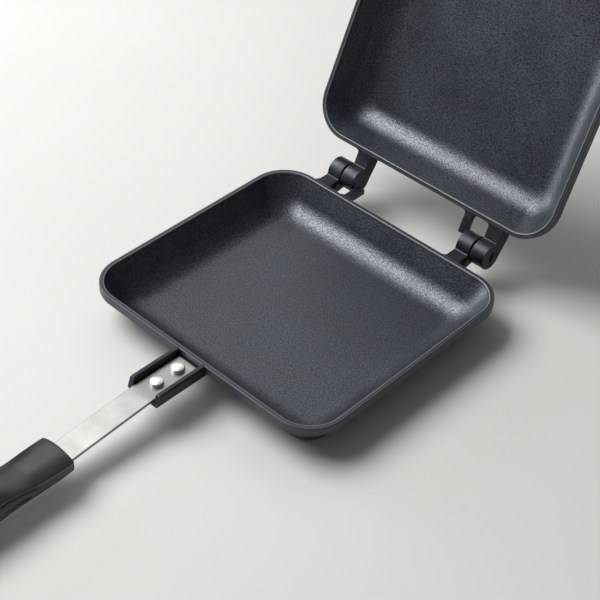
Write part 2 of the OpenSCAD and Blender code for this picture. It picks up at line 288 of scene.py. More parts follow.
# %% What every finish starts and ends with
def new_material(name, **sockets):
    """A material with one Principled shader whose constant sockets are set straight on it."""
    material = bpy.data.materials.new(name)
    material.use_nodes = True
    tree = material.node_tree
    tree.nodes.clear()
    shader = add(tree, "ShaderNodeBsdfPrincipled",
        {name.replace("_", " "): value for name, value in sockets.items()})
    add(tree, "ShaderNodeOutputMaterial", links={"Surface": shader.outputs[0]})
    return material, tree, shader


def edge_wear_and_sheen(tree, tint, bare, share):
    """The tint, mixed towards the bare colour by a share of how sharply the surface bends: partly
    worn coating on edges, partly a painted highlight along them.
    """
    bend = add(tree, "ShaderNodeAttribute", {"attribute_name": "bend"}).outputs["Fac"]
    wear_and_sheen_share = add(tree, "ShaderNodeMath", {"operation": "MULTIPLY", 1: share}, {0: bend})
    wear_and_sheen = add(tree, "ShaderNodeMix", {"data_type": "RGBA", "B": colour(bare)},
        {"Factor": wear_and_sheen_share.outputs[0], "A": tint})
    return wear_and_sheen.outputs["Result"]


def wire_up(tree, shader, tint, gloss_from, spread, rough, height, strength, depth):
    """Joins a finish to its shader: the tint; a roughness that goes from one end of rough to the
    other while the pattern gloss_from crosses its spread; and a relief of the given depth in
    metres and strength, read from the pattern height."""
    gloss = add(tree, "ShaderNodeMapRange",
        {"From Min": spread[0], "From Max": spread[1], "To Min": rough[0], "To Max": rough[1]},
        {"Value": gloss_from})
    relief = add(tree, "ShaderNodeBump", {"Strength": strength, "Distance": depth},
        {"Height": height})
    tree.links.new(tint, shader.inputs["Base Color"])
    tree.links.new(gloss.outputs[0], shader.inputs["Roughness"])
    tree.links.new(relief.outputs[0], shader.inputs["Normal"])


print("materials so far", len(bpy.data.materials))

# %% [markdown]
# ## Non-stick coating, inside the dish
# The pans are die-cast aluminium. The inside is sprayed with a PTFE non-stick enamel, blue-grey
# and full of fine mica, and baked. The mica gives every square millimetre its own grain of
# light and dark, which turns each highlight into a soft grainy glow. Use leaves cloudy patches a
# few centimetres wide where the gloss differs. Real mica flakes are about 0.1 mm; the grain is
# drawn 0.7 mm wide so that it shows, and as much deeper, so that its slopes stay the same. The
# flakes bend light more than plain resin, so the index of refraction is high, and each one
# returns more or less of a slightly blue reflection.

# %% Sprayed non-stick enamel
def nonstick_enamel():
    """Clouds set the colour and the gloss. Mica laid over them gives each grain its own
    brightness, reflection and slope."""
    material, tree, shader = new_material(
        "sprayed PTFE non-stick enamel", Metallic=0.0, IOR=1.85)
    place_in = add(tree, "ShaderNodeTexCoord").outputs["Object"]
    # 30 patches to the metre are 33 mm wide, and 1500 grains to the metre are 0.7 mm wide.
    cloud = add(tree, "ShaderNodeTexNoise", {"Scale": 30.0, "Detail": 4.0, "Roughness": 0.55},
        {"Vector": place_in}).outputs["Fac"]
    mica = add(tree, "ShaderNodeTexNoise", {"Scale": 1500.0, "Detail": 2.0, "Roughness": 0.6},
        {"Vector": place_in}).outputs["Fac"]
    base = add(tree, "ShaderNodeValToRGB",
        {"stops": [(0.30, "#1a1e25"), (0.52, "#22262e"), (0.72, "#2a2f37")]}, {"Fac": cloud})
    grain = add(tree, "ShaderNodeValToRGB",
        {"stops": [(0.36, "#14161b"), (0.50, "#7f7f7f"), (0.64, "#eef0f4")]}, {"Fac": mica})
    flake = add(tree, "ShaderNodeValToRGB",
        {"stops": [(0.36, "#8d95a0"), (0.50, "#d2d8e2"), (0.64, "#fafbff")]}, {"Fac": mica})
    mixed = add(tree, "ShaderNodeMix",
        {"data_type": "RGBA", "blend_type": "OVERLAY", "Factor": 0.6},
        {"A": base.outputs["Color"], "B": grain.outputs["Color"]})
    tree.links.new(flake.outputs["Color"], shader.inputs["Specular Tint"])
    # Sharp edges, the rim's inner edge most, go towards light grey: partly worn coating, partly a
    # painted highlight.
    tint = edge_wear_and_sheen(tree, mixed.outputs["Result"], "#84878b", 0.6)
    wire_up(tree, shader, tint, cloud, (0.3, 0.7), (0.31, 0.39), mica, 0.9, 0.13 * MM)
    return material


enamel = nonstick_enamel()
print("made", enamel.name)

# %% [markdown]
# ## The coated casting, outside
# The rim, lip, hinges and handle channel have the same coating, thinner and duller over the
# cast skin, nearly black. A painted reflection of warm surroundings tints it a little olive
# brown, in blotches about 7 mm wide. Its sharp edges go a little grey, partly worn coating and
# partly a painted highlight. The sand-fine grain of the cast skin breaks up the reflections. It
# is drawn 0.8 mm wide, coarser than real, so that it shows.

# %% Dull coated casting
def coated_casting():
    """One cloud pattern sets both the colour and the gloss. A finer one gives the relief."""
    material, tree, shader = new_material(
        "black coated die-cast aluminium", Metallic=0.0, IOR=1.55, Specular_Tint=colour("#dde4f2"))
    place_in = add(tree, "ShaderNodeTexCoord").outputs["Object"]
    # 150 blotches to the metre are 7 mm wide, and 1200 grains to the metre are 0.8 mm wide.
    cloud = add(tree, "ShaderNodeTexNoise", {"Scale": 150.0, "Detail": 5.0, "Roughness": 0.65},
        {"Vector": place_in}).outputs["Fac"]
    grain = add(tree, "ShaderNodeTexNoise", {"Scale": 1200.0, "Detail": 2.0},
        {"Vector": place_in}).outputs["Fac"]
    # The warm olive stop is a painted reflection of warm surroundings, laid in random blotches.
    base = add(tree, "ShaderNodeValToRGB",
        {"stops": [(0.32, "#0f1013"), (0.52, "#15161a"), (0.72, "#201f1b")]}, {"Fac": cloud})
    # Sharp edges go a little grey: partly worn coating, partly a painted highlight.
    tint = edge_wear_and_sheen(tree, base.outputs["Color"], "#77777a", 0.2)
    wire_up(tree, shader, tint, cloud, (0.35, 0.65), (0.3, 0.52), grain, 0.7, 0.08 * MM)
    return material


casting_skin = coated_casting()
print("made", casting_skin.name)

# %% [markdown]
# ## Metals
# The strap is a satin stainless strip, brushed along its length: the lines are about 0.4 mm
# apart across the strap and 20 mm long, so the noise is stretched along the strap's own length.
# Real brushing is finer, and is drawn as coarse as it needs to show. The rivets are brighter
# steel, pressed smooth by the forming tool but not mirror-like. Pins and screws are zinc plated,
# a little blue and cloudy. The latch wire is bright drawn wire, with long faint die lines.

# %% Steel, zinc and wire
def metal(name, hex_dark, hex_light, rough, lines_per_metre, strength, on_solid=False):
    """A bare metal: noise read at the piece's own place, with its own count of lines to the
    metre along each axis, varies its gloss and relief, and wider smears vary its tint. A solid
    of the model has no such place of its own and reads object space."""
    material, tree, shader = new_material(name, Metallic=1.0)
    if on_solid:
        own = add(tree, "ShaderNodeTexCoord").outputs["Object"]
    else:
        own = add(tree, "ShaderNodeAttribute", {"attribute_name": "made_at"}).outputs["Vector"]
    scaled = add(tree, "ShaderNodeMapping", {"Scale": lines_per_metre}, {"Vector": own})
    lines = add(tree, "ShaderNodeTexNoise", {"Scale": 1.0, "Detail": 4.0, "Roughness": 0.6},
        {"Vector": scaled.outputs[0]}).outputs["Fac"]
    # 90 smears to the metre are 11 mm wide.
    smear = add(tree, "ShaderNodeTexNoise", {"Scale": 90.0, "Detail": 3.0},
        {"Vector": own}).outputs["Fac"]
    tint = add(tree, "ShaderNodeValToRGB",
        {"stops": [(0.35, hex_dark), (0.65, hex_light)]}, {"Fac": smear})
    wire_up(tree, shader, tint.outputs["Color"], lines, (0.3, 0.7), rough, lines, strength,
        0.02 * MM)
    return material


ZINC_FINISH = ("#9fa3aa", "#c0c3c8", (0.25, 0.42), (700, 700, 700), 0.25)
brushed = metal("brushed stainless strip",
    "#949290", "#a4a3a1", (0.32, 0.46), (2400, 50, 2400), 0.45)
polished = metal("polished rivet steel",
    "#e6e4e1", "#f4f2ef", (0.34, 0.44), (900, 900, 900), 0.10)
zinc = metal("zinc-plated steel", *ZINC_FINISH)
pin_zinc = metal("zinc-plated pin steel", *ZINC_FINISH, on_solid=True)
wire_skin = metal("bright drawn wire",
    "#b9bcc1", "#d4d6d9", (0.14, 0.24), (1500, 1500, 120), 0.15)
print("made", brushed.name, polished.name, zinc.name, pin_zinc.name, wire_skin.name, sep=", ")

# %% [markdown]
# ## Phenolic grips
# The grips are black phenolic, pressed hot in a polished mould: a deep brown-black with a
# semi-gloss skin, faint flow clouds about 14 mm wide and dust-fine pits, drawn 0.6 mm apart so
# that they show. The two creases carry a thin pale line, a painted highlight along them.

# %% Black phenolic
def black_phenolic():
    """One flow pattern, a little twisted, sets colour and gloss. Fine pits give the relief."""
    material, tree, shader = new_material(
        "moulded black phenolic", Metallic=0.0, IOR=1.6, Specular_IOR_Level=0.5)
    place_in = add(tree, "ShaderNodeTexCoord").outputs["Object"]
    # 70 clouds to the metre are 14 mm wide, and 1800 pits to the metre are 0.6 mm apart.
    flow = add(tree, "ShaderNodeTexNoise", {"Scale": 70.0, "Detail": 5.0, "Distortion": 0.6},
        {"Vector": place_in}).outputs["Fac"]
    pits = add(tree, "ShaderNodeTexNoise", {"Scale": 1800.0, "Detail": 2.0},
        {"Vector": place_in}).outputs["Fac"]
    base = add(tree, "ShaderNodeValToRGB",
        {"stops": [(0.3, "#17181b"), (0.6, "#1e1f23"), (0.8, "#252526")]}, {"Fac": flow})
    # The two creases go towards pale grey: a painted highlight line along them.
    tint = edge_wear_and_sheen(tree, base.outputs["Color"], "#9b9996", 1.0)
    wire_up(tree, shader, tint, flow, (0.3, 0.7), (0.24, 0.33), pits, 0.25, 0.03 * MM)
    return material


phenolic = black_phenolic()
print("made", phenolic.name)

# %% [markdown]
# ## The pan
# A pan is one line, drawn from the middle of the floor up the wall, over the rim, down the lip
# and the outer wall to the middle of the base, and carried round a square with round corners.
# The line could be modelled by hand and bevelled, but carrying it round keeps every wall equally
# thick, as in a real die. Wall and floor meet in one large arc, which is easy to wipe clean,
# and the corners tighten slowly towards the floor, which makes them small bowls. The rings
# close on the middle of the floor.

# %% Sizes of the pan
CORNER_R, FLOOR_CORNER_R = 19.5, 5.0
RIM_W, CHAMFER_W, CHAMFER_H = 2.3, 0.5, 1.2
LIP_W, LIP_Z, BASE_IN = 1.55, 15.6, 11.3
FLOOR_T, WALL_SLOPE, FILLET_R = 2.6, 0.625, 16.0
WALL_FOOT = RIM_W + CHAMFER_W + WALL_SLOPE * (PAN_H - CHAMFER_H - FLOOR_T)
FLOOR_IN = WALL_FOOT + FILLET_R * math.tan((math.pi / 2 - math.atan(WALL_SLOPE)) / 2)
print("the flat floor begins", round(FLOOR_IN, 1), "mm inside the rim's outline")

# %% The line carried round a square with round corners
def corner_radius(inset):
    """The pan's own corner radius at the rim, falling evenly to that of the floor where the
    floor begins, and never below zero."""
    fall = CORNER_R - RIM_W - FLOOR_CORNER_R
    evenly = FLOOR_CORNER_R + fall * (FLOOR_IN - inset) / (FLOOR_IN - RIM_W)
    return np.maximum(np.maximum(CORNER_R - inset, evenly), 0)


def dish_shell(cuts=24):
    """For each point of the line, its inset shrinks the rounded square and its height lifts it;
    the corner arcs, of this many cuts each, take the radius of that inset."""
    rim_top = (RIM_W - 0.45, PAN_H)
    inner, bend_in = rounded(
        [(HALF_D, FLOOR_T), (WALL_FOOT, FLOOR_T), (RIM_W + CHAMFER_W, PAN_H - CHAMFER_H),
         (RIM_W, PAN_H), rim_top],
        [FILLET_R, 5.0, 0.4], steps=16)
    outer, bend_out = rounded(
        [rim_top, (0, PAN_H), (0, LIP_Z), (LIP_W, LIP_Z), (BASE_IN, 0), (HALF_D, 0)],
        [0.5, 0.4, 0.5, 1.6], steps=6)
    line = np.concatenate([inner[:-1], outer])
    bend = np.concatenate([bend_in[:-1], bend_out])
    angle = (np.arange(4)[:, None] * 90 + np.linspace(0, 90, cuts + 1)).ravel() * np.pi / 180
    sx = np.repeat([1, -1, -1, 1], cuts + 1)
    sy = np.repeat([1, 1, -1, -1], cuts + 1)
    inset, height = line[:, 0][:, None], line[:, 1][:, None]
    radius = corner_radius(inset)
    x = sx * (PAN_W / 2 - inset - radius) + radius * np.cos(angle)
    y = sy * (HALF_D - inset - radius) + radius * np.sin(angle)
    points = np.stack([x, y, np.broadcast_to(height, x.shape)], axis=-1)
    faces = grid_faces(*x.shape, wrap_cols=True)
    outside = np.repeat(np.arange(len(line) - 1) >= len(inner) - 1, x.shape[1]).astype(int)
    return shell(points, faces, bend[:, None], outside)


dish = dish_shell()
print("pan skin encloses", round(dish["volume"] / 1000, 1), "cubic centimetres")

# %% [markdown]
# ## Slabs with rounded edges
# The hinge arms, the keeper rib and the handle channel are all slabs: an outline drawn from the
# side and carried straight across, with one flat face at each end. Near each end the outline
# shrinks along a quarter circle, which rounds the edge. A Bevel modifier would do this too, but
# here the round's place is known, so its points can say that a coating wears thin on them and
# that a painted highlight lies along them. Where a slab grows out of the pan's lip it widens in a
# small fillet, as every inside corner of a casting does.

# %% A slab with rounded end edges
def outward(outline):
    """Unit normals of a closed outline, pointing out of it: the average of the two sides that
    meet at each point, turned a quarter."""
    side = np.roll(outline, -1, axis=0) - outline
    side /= np.linalg.norm(side, axis=1)[:, None]
    t = side + np.roll(side, 1, axis=0)
    t /= np.linalg.norm(t, axis=1)[:, None]
    n = np.stack([t[:, 1], -t[:, 0]], 1)
    x, y = outline.T
    area = (x * np.roll(y, -1) - np.roll(x, -1) * y).sum()
    return n if area > 0 else -n


def slab_grid(outline, start, stop, edge=0.45, steps=4):
    """Rows of the outline from start to stop: each end row is drawn in by the edge radius and
    the rows between follow a quarter circle. Gives outline rows, their places along the slab,
    the faces and the bend of each row."""
    a = np.linspace(np.pi / 2, 0, steps + 1)
    inset = edge - edge * np.cos(a)
    drawn = edge - edge * np.sin(a)
    inset = np.concatenate([inset, inset[::-1]])
    along = np.concatenate([start + drawn, (stop - drawn)[::-1]])
    rows = outline[None] - outward(outline)[None] * inset[:, None, None]
    bend = np.where((inset > 0) & (inset < edge), 1.0, 0.0)
    return rows, along, grid_faces(len(along), len(outline), wrap_cols=True), bend


def fillet_at_lip(distance, size=1.6):
    """How far a slab widens at a distance outside the lip: a quarter circle that dies out after
    its radius."""
    d = np.clip(distance, 0, size)
    return size - np.sqrt(np.maximum(size ** 2 - (size - d) ** 2, 0))


def across(outline, x0, x1):
    """A slab across the hinge line, from x0 to x1, whose side faces widen into the lip."""
    rows, along, faces, bend = slab_grid(outline, x0, x1)
    y, z = rows[..., 0], rows[..., 1]
    side = np.sign(along - (x0 + x1) / 2)
    x = along[:, None] + side[:, None] * fillet_at_lip(y - HALF_D)
    return shell(np.stack([x, y, z], axis=-1), faces, bend[:, None], 1, cols=len(outline))


print("the fillet widens", round(float(fillet_at_lip(np.array(0.0))), 2), "mm at the lip")

# %% [markdown]
# ## Hinge arms
# Seen from the side, each arm is flush with the rim, then swells into a round knuckle about the
# hinge line. The corner between the flat and the round is a small cast fillet, worked out as the
# circle that touches both. The underside runs straight back under the lip. Each pan has an outer
# knuckle on one side and an inner one on the other, so that two equal pans fit together, and a
# short flat rib beside the outer one.

# %% Knuckles and keeper rib
KNUCKLE_R, ARM_FILLET = 6.8, 0.8
KEEPER_LEN, KEEPER_T = 11.5, 3.2
OUTER_ARM_X, INNER_ARM_X, KEEPER_X = (-51.5, -43.3), (34.2, 42.4), (-33.3, -28.6)
ROOT, ARM_FLAT, UNDER_ROOT = 1.0, 3.0, 3.6  # into the lip, out to the fillet, in under the lip


def arc(centre, radius, start, stop, count):
    """Points on a circle from one angle to another, in degrees."""
    a = np.radians(np.linspace(start, stop, count))
    return np.stack([centre[0] + radius * np.cos(a), centre[1] + radius * np.sin(a)], 1)


def knuckle_shell(x0, x1, cuts=17):
    """Along the rim plane, up the fillet, over and round the knuckle, then back under the arm."""
    rise = FLUSH + ARM_FILLET - AXIS_Z
    back = math.sqrt((KNUCKLE_R + ARM_FILLET) ** 2 - rise ** 2)
    meet = math.degrees(math.atan2(rise, -back))
    near = np.linspace(HALF_D - ROOT, HALF_D + ARM_FLAT, cuts)
    far = np.linspace(HALF_D + ARM_FLAT, HALF_D - UNDER_ROOT, cuts)
    return across(np.concatenate([
        np.stack([near, np.full(cuts, FLUSH)], 1),
        arc((AXIS_Y - back, FLUSH + ARM_FILLET), ARM_FILLET, -90, meet - 180, 7),
        arc((AXIS_Y, AXIS_Z), KNUCKLE_R, meet, -90, 61)[1:],
        np.stack([far, np.full(cuts, AXIS_Z - KNUCKLE_R)], 1),
    ]), x0, x1)


def keeper_shell(x0, x1):
    """A square-ended flat rib with rounded corners, flush with the rim."""
    root, end, low = HALF_D - ROOT, HALF_D + KEEPER_LEN, PAN_H - KEEPER_T
    outline, _ = rounded(
        [(root, low), (end, low), (end, FLUSH), (root, FLUSH)], [0.7, 0.7], fill=24)
    return across(outline, x0, x1)


outer_arm, inner_arm = knuckle_shell(*OUTER_ARM_X), knuckle_shell(*INNER_ARM_X)
keeper = keeper_shell(*KEEPER_X)
print("arms of", round(outer_arm["volume"]), "and", round(inner_arm["volume"]), "cubic mm")

# %% [markdown]
# ## The handle channel
# The strap lies in a cast trough on the handle side. Its section is a U with thick walls, here
# an outer and an inner line that run side by side, carried away from the pan. The ends of the
# walls slope off towards the grip. A box with a carved groove would give the same trough with
# hard edges; the two rounded lines give soft ones at once.

# %% A trough for the strap
CHANNEL_HALF, CHANNEL_WALL, CHANNEL_H, CHANNEL_FLOOR = 7.0, 2.8, 6.0, 1.4
CHANNEL_TIP, CHANNEL_SLANT, CHANNEL_ROOT = 98.3, 2.2, 1.5
TOP_OUT, TOP_IN = 1.45, 1.25  # the outer and the inner line's share of a wall's top


def channel_shell():
    """The U section carried along -Y. The end slants back from the bottom of the channel to the
    rim plane."""
    w, out, low = CHANNEL_HALF, CHANNEL_HALF + CHANNEL_WALL, PAN_H - CHANNEL_H
    top, floor = FLUSH, PAN_H - CHANNEL_H + CHANNEL_FLOOR
    outer, _ = rounded(
        [(-out + TOP_OUT, top), (-out, top), (-out, low), (out, low), (out, top),
         (out - TOP_OUT, top)],
        [0.9, 0.9, 0.9, 0.9], fill=10)
    inner, _ = rounded(
        [(-w - TOP_IN, top), (-w, top), (-w, floor), (w, floor), (w, top), (w + TOP_IN, top)],
        [0.8, 0.7, 0.7, 0.8], fill=10)
    outline = np.concatenate([outer, inner[::-1]])
    rows, along, faces, bend = slab_grid(outline, HALF_D - CHANNEL_ROOT, CHANNEL_TIP)
    x, z = rows[..., 0], rows[..., 1]
    lean = np.clip(z - low, 0, None) * CHANNEL_SLANT / CHANNEL_H
    far = np.clip((along[:, None] - HALF_D) / (CHANNEL_TIP - HALF_D), 0, 1)
    y = -(along[:, None] - lean * far ** 3)
    return shell(np.stack([x, y, z], axis=-1), faces, bend[:, None], 1, cols=len(outline))


channel = channel_shell()
print("channel of", round(channel["volume"]), "cubic mm")

# %% [markdown]
# ## Casting both pans
# The outer knuckle's end face has a slot that shows the pin. It is carved out, because a slot
# across the middle of a flat face fits no grid. Then all shells of one casting join in one mesh.
# The lid's is the same set of arrays, turned over.

# %% Cutters
def bar(x0, x1, y0, y1, z0, z1, rad):
    """A block with rounded corners: four corner arcs, carried from x0 to x1."""
    a = np.radians(np.arange(4)[:, None] * 90 + np.linspace(0, 90, 7)).ravel()
    sy, sz = np.repeat([1, -1, -1, 1], 7), np.repeat([1, 1, -1, -1], 7)
    y = (y0 + y1) / 2 + sy * ((y1 - y0) / 2 - rad) + rad * np.cos(a)
    z = (z0 + z1) / 2 + sz * ((z1 - z0) / 2 - rad) + rad * np.sin(a)
    points = np.stack([np.stack([np.full(28, x), y, z], axis=-1) for x in (x0, x1)])
    return shell(points, grid_faces(2, 28, wrap_cols=True), cols=28)


def turned(line, centre, axis=2, count=48):
    """A line of (radius, distance) points turned a full circle about an axis through centre,
    closed where the radius is zero."""
    a = np.linspace(0, 2 * np.pi, count, endpoint=False)
    r, d = line[:, 0][:, None], line[:, 1][:, None]
    u, v, w = r * np.cos(a), r * np.sin(a), np.broadcast_to(d, (len(line), count))
    points = np.stack([u, v, w] if axis == 2 else [w, u, v], axis=-1) + np.array(centre)
    return points, grid_faces(len(line), count, wrap_cols=True)


def peg(centre, radius, length, axis=2, count=48):
    """A plain round block from centre along its axis."""
    line = np.array([(0, 0), (radius, 0), (radius, length), (0, length)], float)
    return shell(*turned(line, centre, axis, count))


SLOT_X, SLOT_HALF_LEN, SLOT_HALF_H, SLOT_ROUND = (-52.5, -49.0), 2.7, 1.1, 0.95
end_slot = bar(*SLOT_X, AXIS_Y - SLOT_HALF_LEN, AXIS_Y + SLOT_HALF_LEN,
    AXIS_Z - SLOT_HALF_H, AXIS_Z + SLOT_HALF_H, SLOT_ROUND)
print("the slot is", 2 * SLOT_HALF_LEN, "by", 2 * SLOT_HALF_H, "mm")

# %% Two castings from one set of arrays
HALVES = (("lower", False), ("upper", True))
for side, lid in HALVES:
    arm = carve(make_mesh("arm", [outer_arm], lid), [make_mesh("slot", [end_slot], lid)])
    place(f"{side}_pan_casting", make_mesh("pan", [dish, inner_arm, keeper, channel], lid),
        [enamel, casting_skin], f"{side}_half", f"{side}_pan")
    place(f"{side}_pan_hinge_arm", arm,
        [casting_skin], f"{side}_half", f"{side}_pan")

# %% [markdown]
# ## Strap
# The strap is a flat strip with softly rounded edges. It lies in the channel, bends down a
# little where it leaves it and narrows to a tang inside the grip. It could be a bevelled box
# with a bend, but as a rounded rectangle carried along the strip's own line its thickness stays
# true through the bend. The width is a function of the place along it.

# %% A flat strip with a bend and a tang
STRAP_TOP, STRAP_T, STRAP_HALF = 16.9, 1.5, 6.6
STRAP_START, STRAP_END = -69.8, -199.5
BEND_Y, BEND_SLOPE, BEND_ROUND = -98.0, math.tan(math.radians(4.35)), 2.0
TANG_Y, TANG_RUN, TANG_HALF = -148.2, 1.6, 4.5
END_RUN, END_DRAW = 0.5, 0.3  # over this length each end is drawn in by this much


def strap_height(y):
    """Height of the strap's top: level in the channel, then down a slope, with a soft bend
    between, which is one branch of a hyperbola."""
    d = BEND_Y - y
    return STRAP_TOP - BEND_SLOPE * (d + np.sqrt(d ** 2 + BEND_ROUND ** 2)) / 2


def strap_shell():
    """Outline of the strip's section, scaled to the width at each place along it."""
    y = np.concatenate([
        STRAP_START - np.array([0, 0.08, 0.25, END_RUN]), np.linspace(-72, -94, 6),
        np.linspace(-95, -101, 13), np.linspace(-104, -147, 8), np.linspace(-148, -150, 5),
        np.linspace(-155, STRAP_END + END_RUN, 5), [STRAP_END + 0.2, STRAP_END]])
    narrow = np.clip((TANG_Y - y) / TANG_RUN, 0, 1)
    half = STRAP_HALF - (STRAP_HALF - TANG_HALF) * narrow * narrow * (3 - 2 * narrow)
    ends = np.clip(np.minimum(STRAP_START - y, y - STRAP_END) / END_RUN, 0, 1)
    shrink = END_DRAW * (1 - np.sqrt(1 - (1 - ends) ** 2))
    t = STRAP_T / 2
    edge, _ = rounded([(-0.2, t), (1, t), (1, -t), (-0.2, -t)], [0.45, 0.45], steps=5)
    u = np.concatenate([edge[1:-1, 0], -edge[1:-1, 0][::-1]])
    v = np.concatenate([edge[1:-1, 1], edge[1:-1, 1][::-1]])
    s = np.sign(u)
    x = s[None] * (half[:, None] - shrink[:, None]) + (u - s)[None]
    z = strap_height(y)[:, None] - t + v[None] * (1 - shrink[:, None] / t)
    points = np.stack([x, np.broadcast_to(y[:, None], x.shape), z], axis=-1)
    return shell(points, grid_faces(len(y), len(u), wrap_cols=True), cols=len(u))


strap = strap_shell()
print("strap of", round(strap["volume"]), "cubic mm")

# %% [markdown]
# ## Rivets
# A rivet's head is a low dome with a narrow upright edge, formed by the tool that closed it. A
# flattened sphere has no such edge, so the rivet is one line turned about its own axis, from the
# crown down to the shank and the lower head.

# %% Domed rivets
RIVET_Y = (-76.5, -89.2)
RIVET_R, RIVET_H, RIVET_EDGE, SHANK_R = 3.15, 2.4, 1.85, 1.6
LOWER_HEAD = [(SHANK_R, 14.0), (2.7, 14.0), (2.7, 13.2), (2.3, 12.8), (0, 12.8)]


def rivet_shell(y):
    """The half section of a rivet turned full circle: a dome's arc, a small round into the
    upright edge, the shank and the lower head."""
    rise = RIVET_H - RIVET_EDGE
    dome_r = (RIVET_R ** 2 + rise ** 2) / (2 * rise)
    reach = np.linspace(0, 0.86 * RIVET_R, 10)
    crown = STRAP_TOP + RIVET_H - dome_r + np.sqrt(dome_r ** 2 - reach ** 2)
    dome = np.stack([reach, crown], 1)
    edge, _ = rounded(
        [tuple(dome[-1]), (RIVET_R, STRAP_TOP + RIVET_EDGE), (RIVET_R, STRAP_TOP),
         (SHANK_R, STRAP_TOP)],
        [0.35, 0.1], steps=5)
    points, faces = turned(np.concatenate([dome[:-1], edge, LOWER_HEAD]), (0, y, 0))
    return shell(points, faces)


rivets = [rivet_shell(y) for y in RIVET_Y]
print("two rivets of", round(rivets[0]["volume"], 1), "cubic mm")

# %% [markdown]
# ## Grips
# A grip is a bar whose section changes along its length: a low crown between two creases on top,
# sides hollowed where the fingers close, a rounder underside, and a shrinking end. It could be
# sculpted, but each of these is a plain curve over the length, so the whole grip is their
# product on one grid. The side between crease and underside is a smooth curve through a few
# guide points.

# %% Smooth steps and smooth curves
def ease(a, b, u):
    """Goes smoothly from 0 at a to 1 at b."""
    t = np.clip((u - a) / (b - a), 0, 1)
    return t * t * (3 - 2 * t)


def spline(count, guides):
    """Weights of a cubic B-spline that starts and ends on its first and last guide point: each
    pass blends neighbouring weights by how far the place lies between their knots."""
    knots = np.concatenate([[0] * 3, np.linspace(0, 1, guides - 2), [1] * 3])
    t = np.linspace(0, 1, count)
    w = ((knots[:-1] <= t[:, None]) & (t[:, None] < knots[1:])).astype(float)
    for degree in (1, 2, 3):
        span = knots[degree:-1] - knots[:-degree - 1]
        span2 = knots[degree + 1:] - knots[1:-degree]
        left = (t[:, None] - knots[:-degree - 1]) / np.where(span > 0, span, 1) * (span > 0)
        right = (knots[degree + 1:] - t[:, None]) / np.where(span2 > 0, span2, 1) * (span2 > 0)
        w = w[:, :-1] * left + w[:, 1:] * right
    w[-1] = 0
    w[-1, guides - 1] = 1.0
    return w


print("the weights at each place add up to", spline(5, 9).sum(1).round(6))

# %% Sizes of the grip
GRIP_Y, GRIP_LEN = -143.5, 125.0
NOSE = 14.0  # length of the shrinking far end
FACE_IN, FACE_ROUND = 0.9, 1.5  # where the front face lies, and the round of its edge
MOUTH_HALF_W, MOUTH_HALF_H, MOUTH_DEPTH = 6.7, 0.9, 6.0
TOP_ANGLES = np.concatenate([
    [0, 3, 7, 12, 18, 26], np.linspace(36, 144, 10), [154, 162, 168, 173, 177, 180]])
print("grip", GRIP_LEN, "mm long, slot", 2 * MOUTH_HALF_W, "by", 2 * MOUTH_HALF_H, "mm")

# %% The grip as one grid
def grip_ring(u):
    """The section at each distance u from the front end, as points (x, height over the rim), and
    the height of its middle. Half width w, crease c, underside b and hollow f are sums of smooth
    steps over u, and both ends shrink along a curve. The top is a flattened arc from one crease
    to the other, and each side is a spline from crease to underside."""
    front = u - (FACE_IN + FACE_ROUND)
    front = FACE_ROUND - np.sqrt(np.maximum(FACE_ROUND ** 2 - np.minimum(front, 0) ** 2, 0))
    end = np.sqrt(1 - np.clip((u - (GRIP_LEN - NOSE)) / NOSE, 0, 1) ** 2.6)
    tall = 0.3 + 0.7 * end
    w = (10.3 - 1.3 * ease(6, 34, u) + 1.6 * ease(52, 98, u) - front) * (0.35 + 0.65 * end)
    mid = -7.2 - 3.2 * ease(10, GRIP_LEN, u)
    c = mid + (-4.4 + 2.0 * ease(20, 36, u) - 0.25 * front - mid) * tall
    b = mid + (-10 - 8 * np.minimum(1, u / (GRIP_LEN - NOSE)) + 0.25 * front - mid) * tall
    f = 1.6 * ease(18, 26, u) * (1 - ease(96, 110, u))
    h, up = c - b, 2.2 * tall
    a = np.radians(TOP_ANGLES)[:, None]
    flat = np.sign(np.cos(a)) * np.abs(np.cos(a)) ** 0.72
    crown = np.where(np.sin(a) < 0.22, np.sin(a) / 0.22, 1) * 0.18 * up
    top = np.stack([w * flat, c + crown + 0.82 * up * (1 - np.abs(flat) ** 2.0)])
    guides = np.array([
        [w, c], [w - 0.1 * f, c - 0.06 * h], [w - 0.9 * f, c - 0.24 * h],
        [w - 1.05 * f, c - 0.46 * h], [w - 0.75 * f, c - 0.70 * h],
        [w - 0.2, b + 1.9], [w - 0.9, b - 0.1], [w - 3.2, b], [0 * w, b]])
    side = np.einsum("kg,gcu->cku", spline(30, len(guides)), guides)
    right = side[:, ::-1][:, 1:-1]
    left = side[:, 1:].copy()
    left[0] *= -1
    return np.concatenate([top, left, right], axis=1), mid


